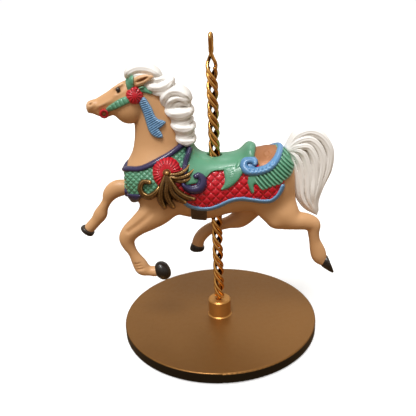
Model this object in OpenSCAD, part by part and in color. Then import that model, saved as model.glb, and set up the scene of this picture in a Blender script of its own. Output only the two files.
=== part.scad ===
// Carousel horse ornament on a twisted wire pole, standing in a thin round base.
// The horse hangs on the pole, and the pole turns in a bush in the base's boss.
// Origin: centre of the felt's under face. +Z is up, the horse faces -X, its near side is -Y.

/* [Stand] */
// Diameter of the round base
base_d = 80; // [72:1:90]
// Height of the base's top face above the table
base_h = 5; // [4.5:0.5:7]
// Thickness of the felt under the base
felt_t = 0.5; // [0.3:0.1:1]
// Diameter of the boss that holds the pole
boss_d = 9.4; // [8:0.2:12]
// Height of the boss above the base
boss_h = 7.2; // [6.6:0.2:7.2]

/* [Pole] */
// Diameter of the brass wire
wire_d = 1.2; // [1:0.05:1.2]
// Rise of the twist over one full turn
twist_pitch = 14.5; // [13:0.5:18]
// Height of the top of the eye above the base
pole_top = 113.9; // [112:0.5:118]

/* [Trappings] */
// Thickness of the quilted cloths
cloth_t = 0.9; // [0.6:0.1:1.2]
// Thickness of the leather that lies on the cloths
leather_t = 1.0; // [0.8:0.1:1.4]
// Width of the rolled border along the blanket
border_w = 1.8; // [1.4:0.1:2.2]
// Radius of the large rosette on the shoulder
rosette_r = 4.8; // [4:0.2:5.4]

/* [Fits] */
// Radial running clearance of the bush in the boss
bush_gap = 0.06; // [0.03:0.01:0.1]
// Radial running clearance of the peg in the bush
peg_gap = 0.07; // [0.03:0.01:0.1]

/* [Hidden] */
$fn = 48;

disc_bottom = felt_t;                    // top of the felt, above the table
bush_r = 1.9;                            // outer radius of the bush
bush_floor = 3;                          // height of the bush's seat above the base
peg_r = 0.9;                             // radius of the straight peg below the twist
peg_top = 14;                            // top of the peg, inside the twist
screw_r = 1.25;
screw_head_r = 2.3;
strand_r = peg_r + 0.12 + wire_d / 2;    // radius of the helix that the strands follow
pair_half = 29;                          // degrees from a pair's middle to each of its strands
twist_low = 8.8;                         // height of the lower bends' ends
twist_end = 101.5;                       // height where the two short strands stop
twist_top = 105.3;                       // height where the long strands leave the twist
pinch = 98;                              // a height where the pairs lie fore and aft
ring_step = 36;                          // degrees of twist between two rings of the sweep
saddle_hole_r = 3.2;                     // recess around the pole
pole_bore_r = 2.25;                      // hole through the body
body_sides = 22;                         // points around a body ring
limb_sides = 12;
tube_sides = 7;
wire_sides = 6;
sunk_share = 0.6;                        // lift of a moulded rod, in parts of its radius

// ---------- Curves and skins ----------

function spread(a, b, c, d, t) =
    0.5 * (2 * b + (c - a) * t + (2 * a - 5 * b + 4 * c - d) * t * t
           + (3 * b - a - 3 * c + d) * t * t * t);

// A smooth curve through rows of numbers, with this many steps from row to row
function smooth(rows, steps) = [
    for (i = [0:len(rows) - 2]) for (k = [0:steps - 1])
        spread(rows[max(i - 1, 0)], rows[i], rows[i + 1],
               rows[min(i + 2, len(rows) - 1)], k / steps),
    rows[len(rows) - 1]
];

function unit(v) = v / norm(v);

// One closed skin through rings of equal length
module skin(rings) {
    n = len(rings[0]);
    last = (len(rings) - 1) * n;
    polyhedron(
        points = [for (ring = rings) each ring],
        faces = [
            [for (i = [0:n - 1]) i],
            [for (i = [n - 1:-1:0]) last + i],
            for (k = [0:n:last - n]) for (i = [0:n - 1]) let (j = (i + 1) % n)
                each [[k + i, k + n + j, k + j], [k + i, k + n + i, k + n + j]]
        ]
    );
}

// Rings square to a path of [x, y, z, half depth, half width] rows, depth lying in the XZ plane
function path_rings(rows, sides) = [
    for (i = [0:len(rows) - 1])
        let (here = rows[i],
             ahead = rows[min(i + 1, len(rows) - 1)],
             behind = rows[max(i - 1, 0)],
             along = unit([for (k = [0:2]) ahead[k] - behind[k]]),
             depth = unit(cross([0, 1, 0], along)),
             width = cross(along, depth))
        [for (s = [0:sides - 1]) let (a = 360 * s / sides)
            [here[0], here[1], here[2]] + here[3] * cos(a) * depth + here[4] * sin(a) * width]
];

module limb(rows) skin(path_rings(smooth(rows, 2), limb_sides));

// A round rod along [x, y, z, radius] rows
module rod(rows, steps = 2) {
    skin(path_rings([for (r = smooth(rows, steps)) [r[0], r[1], r[2], r[3], r[3]]], tube_sides));
}

// Keeps a draped piece as one closed skin at the size it is drawn
module one_skin() resize([0, 0, 0]) children();

module above_base() translate([0, 0, base_h]) children();

module both_sides() {
    children();
    mirror([0, 1, 0]) children();
}

// ---------- Body shape ----------

// Barrel: [x, height of the middle, half height, half width]
BARREL = [
    [-32.8, 59, 3.2, 2.6], [-31, 60, 7.6, 6.4], [-26, 60.4, 10.6, 9],
    [-19, 59.8, 12.4, 10.2], [-11, 58.4, 13.2, 10.6], [-3, 56.4, 12.4, 10.4],
    [5, 57.2, 11.2, 10], [12, 58.8, 11.8, 10.2], [19, 59.2, 11.9, 10.6],
    [25, 59.8, 10.9, 9.4], [29, 60.6, 8.2, 6.6], [31, 61.5, 3.4, 3]
];

// Neck: [height, middle x, half length, half width]
NECK = [
    [62, -21.5, 10.5, 8], [66, -21.8, 11, 7.6], [72, -21.3, 9.8, 6.6], [78, -20.6, 9.2, 5.8],
    [84, -20.9, 8.6, 5.3], [90, -22, 7.6, 4.9], [95, -24, 6, 4.2], [98.6, -25, 3.4, 2.6]
];

// Head: [x, height of the middle, half height, half width]
HEAD = [
    [-23, 92.5, 4.6, 3.6], [-27, 91.6, 7.6, 4.9], [-31, 91, 8, 5.1], [-34.5, 90.9, 6.1, 4.5],
    [-38, 90.2, 4.5, 3.8], [-42, 89.8, 3.3, 3.2], [-45, 89.4, 2.4, 2.9], [-46.5, 89.1, 1.2, 1.5]
];

function barrel_rings(g) = [
    for (r = smooth(BARREL, 2))
        [for (s = [0:body_sides - 1]) let (a = 360 * s / body_sides)
            [r[0] + g * min(1, max(-1, (r[0] + 1) / 24)),
             (r[3] + g) * cos(a), r[1] + (r[2] + g) * sin(a)]]
];

function neck_rings(g) = [
    for (r = smooth(NECK, 2))
        [for (s = [0:body_sides - 1]) let (a = 360 * s / body_sides)
            [r[1] + (r[2] + g) * cos(a), (r[3] + g) * sin(a), r[0]]]
];

function head_rings() = [
    for (r = smooth(HEAD, 2))
        [for (s = [0:body_sides - 1]) let (a = 360 * s / body_sides)
            [r[0], r[3] * sin(a), r[1] + r[2] * cos(a)]]
];

module barrel(g = 0) skin(barrel_rings(g));

module neck_shape(g = 0) skin(neck_rings(g));

// The barrel and neck, grown all round by g
module trunk(g) {
    barrel(g);
    neck_shape(g);
}

// Half width of the barrel at a place in side view
function row_at(x, rows, i = 0) =
    i >= len(rows) - 2 || x <= rows[i + 1][0]
        ? let (t = min(1, max(0, (x - rows[i][0]) / (rows[i + 1][0] - rows[i][0]))))
          rows[i] + (rows[i + 1] - rows[i]) * t
        : row_at(x, rows, i + 1);

function bulge(half, off, reach) = half * sqrt(max(0, 1 - pow(off / reach, 2)));

function flank(x, z) =
    let (b = row_at(x, BARREL), n = row_at(z, NECK))
    max(bulge(b[3], z - b[1], b[2]), z < NECK[0][0] ? 0 : bulge(n[3], x - n[1], n[2]));

// The first child, cut to seat against every other child
module seated() {
    above_base() one_skin() difference() {
        children(0);
        children([1:$children - 1]);
    }
}

// A layer between two heights over the trunk, cut to the first child, an outline in side view.
// The legs come through it, and so do any further children.
module relief(low, high) {
    above_base() one_skin() difference() {
        intersection() {
            trunk(high);
            rotate([90, 0, 0]) linear_extrude(height = 80, center = true) children(0);
        }
        trunk(low);
        legs_shape();
        translate([0, 0, 60]) cylinder(r = saddle_hole_r, h = 40);
        if ($children > 1) children([1:$children - 1]);
    }
}

// Raised work on both flanks, sunk a little into the cloth that it is moulded on
module applied() above_base() both_sides() children();

// Side-view points [x, z, radius] laid on the near flank's cloth
function on_flank(rows) = [
    for (r = rows) [r[0], -flank(r[0], r[1]) - cloth_t - sunk_share * r[2], r[1], r[2]]
];

// A strap of even width along side-view points
module strap_outline(points, w) {
    for (i = [0:len(points) - 2]) hull() {
        translate(points[i]) circle(d = w, $fn = 10);
        translate(points[i + 1]) circle(d = w, $fn = 10);
    }
}

// A fluted dome facing -Y at [x, z], with its foot at y_seat
module rosette(x, z, r, rise, petals, y_seat) {
    levels = [[0, 1], [0.55, 1], [0.85, 0.8], [1, 0.35]];
    round_points = petals * 3;
    skin([for (level = levels)
        [for (s = [0:round_points - 1])
            let (a = 360 * s / round_points,
                 scallop = 1 - 0.1 * (1 - cos(a * petals)) / 2,
                 reach = r * level[1] * scallop)
            [x + reach * cos(a), y_seat - rise * level[0], z + reach * sin(a)]]]);
}

// ---------- Stand ----------

module base_disc() {
    round_r = 0.6;
    color("saddlebrown") difference() {
        rotate_extrude($fn = 96) {
            translate([0, disc_bottom]) square([base_d / 2 - round_r, base_h - disc_bottom]);
            translate([0, disc_bottom + round_r])
                square([base_d / 2, base_h - disc_bottom - 2 * round_r]);
            translate([base_d / 2 - round_r, disc_bottom + round_r]) circle(r = round_r, $fn = 24);
            translate([base_d / 2 - round_r, base_h - round_r]) circle(r = round_r, $fn = 24);
        }
        translate([0, 0, -1]) cylinder(r = screw_r + 0.05, h = base_h + 2);
        translate([0, 0, disc_bottom])
            cylinder(r1 = screw_head_r + 0.1, r2 = screw_r + 0.05, h = screw_head_r - screw_r + 0.3);
    }
}

module base_felt() {
    color("black") cylinder(r = base_d / 2 - 1.5, h = felt_t, $fn = 96);
}

module socket_boss() {
    chamfer = 0.5;
    foot = 0.4;
    color("darkgoldenrod") above_base() difference() {
        rotate_extrude() polygon([
            [0, 0], [boss_d / 2 + foot, 0], [boss_d / 2, foot],
            [boss_d / 2, boss_h - chamfer], [boss_d / 2 - chamfer, boss_h], [0, boss_h]
        ]);
        translate([0, 0, bush_floor]) cylinder(r = bush_r + bush_gap, h = boss_h);
        translate([0, 0, -1]) cylinder(r = screw_r + 0.02, h = bush_floor);
    }
}

module boss_screw() {
    head_h = screw_head_r - screw_r;
    color("silver") translate([0, 0, disc_bottom]) {
        difference() {
            cylinder(r1 = screw_head_r, r2 = screw_r, h = head_h);
            translate([-screw_head_r, -0.3, -0.1]) cube([2 * screw_head_r, 0.6, 0.6]);
        }
        translate([0, 0, head_h]) cylinder(r = screw_r, h = base_h - disc_bottom - head_h + 1.6);
    }
}

module socket_bush() {
    seat_gap = 0.1;
    color("goldenrod") above_base() translate([0, 0, bush_floor + seat_gap]) difference() {
        cylinder(r = bush_r, h = boss_h - bush_floor - 2 * seat_gap);
        translate([0, 0, -1]) cylinder(r = peg_r + peg_gap, h = boss_h);
    }
}

// ---------- Pole ----------

function twist_angle(z) = -90 - 360 * (z - pinch) / twist_pitch;

// A point on a strand at a height, the strand lying off degrees from the first pair's middle
function strand(z, off) =
    [strand_r * cos(twist_angle(z) + off), strand_r * sin(twist_angle(z) + off), z];

ring_rise = twist_pitch * ring_step / 360;

// The heights of the rings from one end of the twist to the other
function climb(low, high) =
    let (steps = round((high - low) / ring_rise)) [for (k = [0:steps]) low + (high - low) * k / steps];

// A bend under the twist, from one strand of a pair round to the other
function low_bend(off) = [
    for (k = [1:3])
        let (a = strand(twist_low, off - pair_half), b = strand(twist_low, off + pair_half),
             mid = (a + b) / 2, turn = 45 * k)
        mid + (a - mid) * cos(turn) - [0, 0, norm(a - mid) * sin(turn)]
];

// The eye: up one side and down the other, nearly edge-on to the horse's flank
function eye_path() =
    let (tilt = twist_angle(twist_top), open = 2.1, eye_low = twist_top + 1.2,
         rise = pole_top - wire_d / 2 - open - eye_low - 2.2)
    [for (k = [0:12])
        let (a = 180 * k / 12, reach = open * cos(a), lift = open * sin(a))
        [reach * cos(tilt - pair_half / 2), reach * sin(tilt - pair_half / 2),
         eye_low + rise + 2.2 + lift]];

function reversed(list) = [for (i = [len(list) - 1:-1:0]) list[i]];

// Short strand up, low bend, long strand up, eye, and down again the same way
function wire_path() = [
    for (z = reversed(climb(twist_low, twist_end))) strand(z, -pair_half),
    each low_bend(0),
    for (z = climb(twist_low, twist_top)) strand(z, pair_half),
    each eye_path(),
    for (z = reversed(climb(twist_low, twist_top))) strand(z, 180 + pair_half),
    each reversed(low_bend(180)),
    for (z = climb(twist_low, twist_end)) strand(z, 180 - pair_half)
];

// Carries a cross-section's direction along the path without twisting it
function carried(path, i = 0, last = [1, 0, 0], out = []) =
    i == len(path) ? out :
    let (along = unit(path[min(i + 1, len(path) - 1)] - path[max(i - 1, 0)]),
         side = unit(last - along * (last * along)))
    carried(path, i + 1, side, concat(out, [[side, cross(along, side)]]));

module pole_wire() {
    path = wire_path();
    frames = carried(path);
    color("goldenrod") above_base() skin([
        for (i = [0:len(path) - 1])
            [for (s = [0:wire_sides - 1]) let (a = 360 * s / wire_sides)
                path[i] + wire_d / 2 * (cos(a) * frames[i][0] + sin(a) * frames[i][1])]
    ]);
}

module pole_peg() {
    color("goldenrod") above_base()
        translate([0, 0, bush_floor + 0.4]) cylinder(r = peg_r, h = peg_top - bush_floor - 0.4);
}

// ---------- Horse ----------

module torso() {
    color("tan") above_base() difference() {
        barrel();
        translate([0, 0, 30]) cylinder(r = pole_bore_r, h = 60);
    }
}

module neck() {
    color("tan") seated() {
        neck_shape();
        barrel();
    }
}

module head_shape() skin(head_rings());

module head() {
    color("tan") seated() {
        head_shape();
        neck_shape();
    }
}

module ears_shape() {
    both_sides() rod([[-28.6, -3.4, 96.4, 1.1], [-26.5, -4.2, 98, 1.3], [-23.8, -4.5, 98.9, 0.9],
                      [-21.6, -4.4, 99, 0.25]]);
}

module ears() {
    color("tan") seated() {
        ears_shape();
        head_shape();
        neck_shape();
    }
}

module eyes() {
    color("black") above_base() both_sides() translate([-34, -4.1, 94.2]) sphere(r = 0.9, $fn = 24);
}

// Legs: [x, y, z, half depth, half width]
NEAR_FORE = [
    [-19.5, -5.4, 57, 7.2, 3.8], [-22.5, -5.8, 51.5, 6.8, 3.9], [-26.2, -6.4, 47.2, 5.5, 3.8],
    [-30.3, -6.6, 44.6, 4.1, 3.4], [-34, -6.6, 41.4, 3.5, 3], [-35.2, -6.6, 38.5, 3.1, 2.7],
    [-34.1, -6.6, 35.1, 2.1, 2.1], [-32.9, -6.6, 32, 1.9, 1.9], [-31.4, -6.6, 29, 2.8, 2.3],
    [-30.9, -6.6, 26.2, 3, 2.5], [-28.6, -6.6, 24.8, 2, 2.1], [-25.2, -6.6, 24.3, 2.2, 2.2]
];
FAR_FORE = [
    [-24, 5, 57.4, 6, 3.4], [-30, 5.8, 56, 4.2, 3.4], [-35, 6.6, 55.6, 3.15, 3],
    [-39.3, 7, 55, 3.6, 3], [-42.5, 7, 53, 3, 2.7], [-44.4, 7, 49.9, 1.9, 2],
    [-46.3, 7, 47, 2.1, 2.1], [-47.6, 7, 44.2, 2.9, 2.5], [-49.6, 7, 41.5, 2.5, 2.4],
    [-52.9, 7, 38.2, 2.5, 2.4]
];
NEAR_HIND = [
    [20.5, -4.6, 60, 7.6, 3.8], [21.4, -5, 53, 8.4, 3.9], [24.6, -6.2, 47.2, 7, 4.4],
    [29.2, -6.6, 44, 4.4, 3.8], [33.8, -6.6, 43.6, 3.4, 3.2], [37.2, -6.6, 42, 3, 2.8],
    [37.7, -6.6, 38.5, 2.4, 2.4], [37.9, -6.6, 35, 2.2, 2.1], [38.9, -6.6, 31.6, 2.9, 2.4],
    [39.8, -6.6, 29, 3.2, 2.6], [40.6, -6.6, 27, 2.3, 2.2], [42.4, -6.6, 26, 2, 2]
];
FAR_HIND = [
    [17.5, 4.6, 56, 7.2, 3.8], [14.8, 5.4, 49, 6.6, 4], [12, 6.3, 43.5, 5, 3.8],
    [9.3, 7, 40, 4, 3.4], [5, 7, 38.6, 2.7, 2.7], [1, 7, 37.6, 2.4, 2.4],
    [-3, 7, 36.2, 2.5, 2.3], [-6, 7, 33.8, 2.6, 2.3], [-7.8, 7, 31.4, 2.7, 2.4],
    [-8.3, 7, 29.8, 2.7, 2.4]
];

module legs_shape() for (rows = [NEAR_FORE, FAR_FORE, NEAR_HIND, FAR_HIND]) limb(rows);

module leg(rows) {
    color("tan") seated() {
        limb(rows);
        trunk(0);
    }
}

module near_fore_leg() leg(NEAR_FORE);
module far_fore_leg() leg(FAR_FORE);
module near_hind_leg() leg(NEAR_HIND);
module far_hind_leg() leg(FAR_HIND);

// A hoof lies past a leg's last ring: [x, y, z, half depth, half width] rows
module hoof(rows) {
    color("black") seated() {
        skin(path_rings(rows, 16));
        legs_shape();
    }
}

module near_fore_hoof()
    hoof([[-25.2, -6.6, 24.3, 2.3, 2.3], [-23.6, -6.6, 24.5, 3.2, 2.7],
          [-20.2, -6.6, 24.5, 3.4, 3], [-19.2, -6.6, 24.4, 2.6, 2.4]]);

module far_fore_hoof()
    hoof([[-52.9, 7, 38.2, 2.6, 2.5], [-53.8, 7, 37.2, 2.9, 2.7], [-54.4, 7, 36.4, 2.2, 2.2]]);

module near_hind_hoof()
    hoof([[42.4, -6.6, 26.2, 2.5, 2.3], [43.4, -6.6, 26, 2.8, 2.6], [44.8, -6.6, 25.6, 2, 2.2]]);

module far_hind_hoof()
    hoof([[-8.3, 7, 29.8, 2.75, 2.5], [-8.7, 7, 27.4, 2.9, 2.8], [-8.8, 7, 26.7, 2.4, 2.4]]);

// Hair: rings [height, middle x, half length, half width], ridged all round
module hair_mass(rows, ridges) {
    sides = ridges * 4;
    skin([for (r = smooth(rows, 2))
        [for (s = [0:sides - 1])
            let (a = 360 * s / sides, ridge = 1 - 0.07 * (1 + cos(ridges * a + 3 * r[0])) / 2)
            [r[1] + r[2] * ridge * cos(a), r[3] * ridge * sin(a), r[0]]]]);
}

module mane_shape() {
    hair_mass([
        [73, -11, 1.2, 1], [75, -10.6, 3.2, 3.4], [79, -11.2, 4.6, 5.2], [84, -11.8, 5, 5.6],
        [89, -12.9, 5.6, 5.6], [93, -15, 6, 5.2], [96.5, -17.4, 4.6, 4.4], [98.8, -18.4, 2, 2]
    ], 6);
}

module mane() {
    color("ivory") seated() {
        mane_shape();
        trunk(0);
        head_shape();
    }
}

module forelock() {
    color("ivory") seated() {
        rod([[-31, 0, 99.6, 0.7], [-29, 0, 100.9, 1.8], [-25.5, 0, 101.2, 2.9],
             [-22, 0, 100.7, 2.6], [-19, 0, 99.4, 1.7], [-17.4, 0, 98.8, 0.6]]);
        mane_shape();
        trunk(0);
        head_shape();
        ears_shape();
    }
}

module tail() {
    color("ivory") seated() {
        union() {
            hair_mass([
                [43.5, 40, 0.4, 0.5], [45.2, 38.6, 1.9, 1.6], [49, 35.9, 4.4, 2.7],
                [54, 35.7, 5.6, 3.3], [60, 36.7, 6.8, 3.7], [66, 37.5, 7.6, 4],
                [72, 36.9, 7.1, 4], [76, 36.4, 5, 3.2], [78.4, 36, 2.6, 1.9], [79.2, 36, 0.8, 0.8]
            ], 6);
            rod([[28.6, 0, 70, 1.4], [30.4, 0, 72.6, 2], [32.6, 0, 73.6, 2.2]]);
        }
        barrel();
        barrel(cloth_t + leather_t);
    }
}

// ---------- Saddle ----------

BLANKET_EDGE = [
    [-11.2, 53.4], [-8.5, 51.3], [-5, 50.4], [-1, 50.8], [3, 52.5], [7, 54.1], [11, 54.2],
    [15, 53.4], [19, 52.6], [22.4, 53.4], [24.8, 56], [26, 60]
];

module blanket_outline() {
    polygon([each BLANKET_EDGE, [27.5, 66], [27, 80], [-9, 80], [-11, 70], [-12.6, 60]]);
}

module border_outline() strap_outline(BLANKET_EDGE, border_w);

module saddle_blanket() {
    color("crimson") relief(0, cloth_t) {
        difference() {
            blanket_outline();
            border_outline();
        }
        mane_shape();
    }
}

module blanket_border() color("steelblue") relief(0, cloth_t + 0.5) border_outline();

module saddle_seat() {
    color("seagreen") relief(cloth_t, cloth_t + leather_t) {
        polygon([[-9, 80], [-9.4, 70], [-8, 65.5], [-3.8, 62.4], [-2, 65], [0.5, 65.9],
                 [3.2, 64.6], [4.4, 65.2], [8, 67], [8.6, 80]]);
        mane_shape();
    }
}

module saddle_leaves() {
    color("mediumseagreen") relief(cloth_t, cloth_t + leather_t) {
        polygon([[4.6, 64.9], [8, 66.6], [9.8, 63.5], [8.6, 61.3], [6.2, 60.2], [2.2, 57.6],
                 [3.6, 60.4], [3.6, 63.4]]);
    }
}

module cantle_scrolls() {
    color("cornflowerblue") applied() {
        rod(on_flank([[8.8, 66.4, 0.8], [10.6, 64.9, 1.3], [13.4, 64.3, 1.5], [17, 64.8, 1.5],
                      [20.4, 66.4, 1.5], [22.4, 69, 1.4], [23, 71.2, 1]]));
        rod(on_flank([[10, 70, 0.8], [12, 70.6, 1.2], [14.2, 69.6, 1.2], [14, 67.7, 0.9]]));
    }
}

module cantle_panels() {
    color("peru") relief(cloth_t, cloth_t + leather_t) {
        polygon([[15.4, 80], [22, 80], [21, 70.6], [18, 67.4], [15.6, 68.4]]);
    }
}

module feather_skirts() {
    color("seagreen") relief(cloth_t, cloth_t + leather_t) {
        polygon([[12.4, 62.4], [12, 59.5], [13.2, 57.2], [14.6, 56.4], [15.4, 59.2], [18, 57.2],
                 [21.4, 57.9], [24, 60], [26.4, 63], [28, 67], [27.5, 80], [24.4, 80], [24, 70],
                 [21.4, 65], [17, 62.6]]);
    }
}

module shoulder_scrolls() {
    color("midnightblue") applied() {
        rod(on_flank([[-6.4, 64.6, 0.5], [-4.9, 64.8, 0.9], [-3.8, 62.8, 1.2], [-4.3, 60, 1.4],
                      [-6.4, 57.8, 1.5], [-9.3, 58, 1.3], [-11.3, 60, 0.8]]));
        rod(on_flank([[-8.6, 62.6, 0.7], [-7.8, 62.9, 1.1], [-7, 62.4, 0.7]]));
    }
}

module pommel_straps() {
    color("midnightblue") relief(cloth_t, cloth_t + leather_t) {
        strap_outline([[-11.4, 66.6], [-11, 69], [-10.4, 80]], 1.2);
        mane_shape();
    }
}

module girth_strap() {
    color("darkslategray") relief(0, cloth_t) difference() {
        polygon([[-9.8, 53], [-4.2, 51], [-4, 42], [-9.6, 42]]);
        blanket_outline();
        border_outline();
    }
}

// ---------- Breast collar ----------

COLLAR_TOP = [[-36, 66.8], [-31, 66.6], [-26, 67.9], [-21, 70.2], [-15.6, 72.6], [-12.4, 73.4]];
COLLAR_POINT = [[-36, 56.6], [-31, 56.2], [-28, 55.2]];
collar_band_t = cloth_t + 0.5;
point_band_w = 2.4;

module collar_top_outline() strap_outline(COLLAR_TOP, border_w);
module collar_point_outline() strap_outline(COLLAR_POINT, point_band_w);

module breast_collar() {
    color("seagreen") relief(0, cloth_t) {
        difference() {
            polygon([each COLLAR_TOP, [-11.6, 70], [-12.6, 62], [-14, 60], [-22, 55.6],
                     [-36, 55.6]]);
            collar_top_outline();
            collar_point_outline();
            blanket_outline();
        }
        mane_shape();
    }
}

module collar_edge_band() {
    color("midnightblue") relief(0, collar_band_t) {
        difference() {
            collar_top_outline();
            blanket_outline();
        }
        mane_shape();
    }
}

module collar_point_bands() {
    color("midnightblue") relief(0, collar_band_t) collar_point_outline();
}

rosette_x = -18.4;
rosette_z = 66;
rosette_foot = -flank(rosette_x, rosette_z) + 1.6;
rosette_rise = 4.2;

module breast_rosettes() {
    color("crimson") applied()
        rosette(rosette_x, rosette_z, rosette_r, rosette_rise, 14, rosette_foot);
}

module rosette_buttons() {
    color("darkgoldenrod") above_base() both_sides()
        translate([rosette_x, rosette_foot - rosette_rise - 0.5, rosette_z - 0.4])
            sphere(r = 1, $fn = 24);
}

// The falling lobes: root and tip of each, in side view
TASSEL_LOBES = [
    [[-21.6, 61], [-21.4, 55.2]], [[-20.2, 59.6], [-18.9, 51.6]], [[-18, 59.4], [-15.6, 52.2]],
    [[-16, 59.9], [-12.2, 53.9]], [[-14.2, 61], [-9, 56.6]]
];

module gold_tassels() {
    color("darkgoldenrod") applied() for (lobe = TASSEL_LOBES)
        let (root = lobe[0], tip = lobe[1], middle = (root + tip) / 2)
            rod(on_flank([[root[0], root[1], 0.6], [middle[0], middle[1], 1.05],
                          [tip[0], tip[1], 0.5]]), 3);
}

module gold_plumes() {
    color("darkgoldenrod") applied() {
        rod(on_flank([[-13.4, 66.6, 0.7], [-11.6, 66.6, 0.9], [-10, 67.6, 0.7], [-9, 69, 0.3]]));
        rod(on_flank([[-13.4, 63.2, 0.7], [-11.4, 63, 0.9], [-9.8, 64.2, 0.7], [-8.9, 66, 0.3]]));
    }
}

module gold_scrolls() {
    color("darkgoldenrod") applied()
        rod(on_flank([[-23, 59.6, 0.8], [-24, 57.2, 1.2], [-26, 56.4, 1.3], [-28.2, 58.2, 1.2],
                      [-28.4, 61.2, 1.1], [-26.6, 62.8, 1], [-24.8, 61.8, 0.7]]));
}

// ---------- Bridle ----------

// A piece on both cheeks, seated on the head
module on_head() {
    seated() {
        both_sides() children(0);
        head_shape();
        neck_shape();
        ears_shape();
        if ($children > 1) both_sides() children([1:$children - 1]);
    }
}

module bridle_rosette_shape() rosette(-28.2, 92.4, 2.9, 1.5, 12, -4.7);

module bridle_rosettes() color("crimson") on_head() bridle_rosette_shape();

module bit_rings() {
    color("crimson") above_base() both_sides()
        translate([-40, -3.8, 87.6]) rotate([90, 0, 0]) difference() {
            cylinder(r = 1.6, h = 0.9);
            translate([0, 0, -1]) cylinder(r = 0.7, h = 3);
        }
}

module cheek_straps() {
    color("seagreen") on_head() {
        rod([[-31, -5.2, 91.4, 0.7], [-34.6, -4.6, 89.8, 0.8], [-37.6, -4, 88.4, 0.8]]);
        bridle_rosette_shape();
    }
}

module browband() {
    color("seagreen") on_head() {
        rod([[-29.4, -4.6, 95.6, 0.7], [-30.4, -3.4, 97.6, 0.8], [-31, -1.2, 98.9, 0.8]]);
    }
}

module crown_straps() {
    color("seagreen") on_head() {
        rod([[-27, -5, 95.2, 0.7], [-25, -4.8, 96, 0.8], [-23, -4.5, 96, 0.6]]);
        mane_shape();
    }
}

module bridle_ribbons() {
    color("cornflowerblue") on_head() {
        union() {
            rod([[-26.4, -5.4, 90.6, 1], [-24.8, -5.9, 87.6, 1.2], [-23.8, -6.2, 84.4, 1.1],
                 [-23.2, -6.4, 82, 0.9]]);
            rod([[-23.4, -6.4, 82.6, 0.7], [-21.8, -6.7, 79.6, 0.8], [-20.2, -6.9, 77.8, 0.3]]);
            rod([[-23.4, -6.4, 82.6, 0.7], [-20.8, -6.5, 81.6, 0.8], [-18.4, -6.6, 82.6, 0.3]]);
        }
        bridle_rosette_shape();
    }
}

base_disc();
base_felt();
socket_boss();
boss_screw();
socket_bush();
pole_wire();
pole_peg();
torso();
neck();
head();
ears();
eyes();
near_fore_leg();
far_fore_leg();
near_hind_leg();
far_hind_leg();
near_fore_hoof();
far_fore_hoof();
near_hind_hoof();
far_hind_hoof();
mane();
forelock();
tail();
saddle_blanket();
blanket_border();
saddle_seat();
saddle_leaves();
cantle_scrolls();
cantle_panels();
feather_skirts();
shoulder_scrolls();
pommel_straps();
breast_collar();
collar_edge_band();
collar_point_bands();
breast_rosettes();
rosette_buttons();
gold_tassels();
gold_plumes();
gold_scrolls();
girth_strap();
bridle_rosettes();
browband();
cheek_straps();
crown_straps();
bit_rings();
bridle_ribbons();
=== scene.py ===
"""Looks for the carousel horse ornament: a painted horse on a twisted brass pole over a bronze base.

The painted figure is sculpted here as distance fields in millimetres above the base's top face, around the
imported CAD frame, and turned into meshes. -X is the horse's front, -Y its near side. Raised work on the coat
is drawn as heights over a side view, seen from in front of and above the near flank, and is the same on both
sides.
"""
import math
import bpy
import numpy as np
import openvdb as vdb
from mathutils import Matrix, Vector


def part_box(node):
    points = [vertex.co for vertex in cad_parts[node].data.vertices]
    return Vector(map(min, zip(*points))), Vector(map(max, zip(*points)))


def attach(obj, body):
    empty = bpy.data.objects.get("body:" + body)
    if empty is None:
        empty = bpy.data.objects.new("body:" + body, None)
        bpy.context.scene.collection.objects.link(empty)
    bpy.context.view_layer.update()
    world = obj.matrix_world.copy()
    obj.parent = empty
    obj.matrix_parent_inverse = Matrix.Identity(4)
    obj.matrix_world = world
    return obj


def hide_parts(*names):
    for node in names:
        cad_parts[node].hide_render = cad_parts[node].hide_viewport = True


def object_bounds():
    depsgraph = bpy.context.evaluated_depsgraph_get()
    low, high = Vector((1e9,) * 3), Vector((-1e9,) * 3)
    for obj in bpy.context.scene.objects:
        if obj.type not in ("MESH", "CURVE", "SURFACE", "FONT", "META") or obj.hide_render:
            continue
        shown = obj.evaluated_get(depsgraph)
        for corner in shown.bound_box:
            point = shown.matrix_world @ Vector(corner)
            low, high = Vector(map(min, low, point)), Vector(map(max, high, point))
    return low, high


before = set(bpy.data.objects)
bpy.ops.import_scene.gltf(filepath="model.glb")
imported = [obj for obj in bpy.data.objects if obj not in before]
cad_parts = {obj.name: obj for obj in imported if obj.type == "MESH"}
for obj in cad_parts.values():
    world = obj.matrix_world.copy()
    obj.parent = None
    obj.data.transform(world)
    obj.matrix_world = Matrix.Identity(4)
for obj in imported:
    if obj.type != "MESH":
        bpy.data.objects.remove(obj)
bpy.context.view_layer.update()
scene = bpy.context.scene

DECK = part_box("base_disc")[1][2] * 1000          # top face of the base, mm above the table
EYE_Y, EYE_Z = -192.0, 122.13                    # where the side view is seen from
SHEET_Y = -8.0                                   # the plane that the side view's measures lie in


# ---------- Curves ----------

def smooth(rows, steps=5):
    """A Catmull-Rom curve through rows of numbers."""
    r = np.asarray(rows, float)
    t = (np.arange(steps) / steps)[:, None]
    out = []
    for i in range(len(r) - 1):
        a, b, c, d = r[max(i - 1, 0)], r[i], r[i + 1], r[min(i + 2, len(r) - 1)]
        out.append(0.5
                   * (2 * b + (c - a) * t + (2 * a - 5 * b + 4 * c - d) * t ** 2 + (3 * b - a - 3 * c + d)
                      * t ** 3))
    return np.vstack(out + [r[-1:]])


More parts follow.
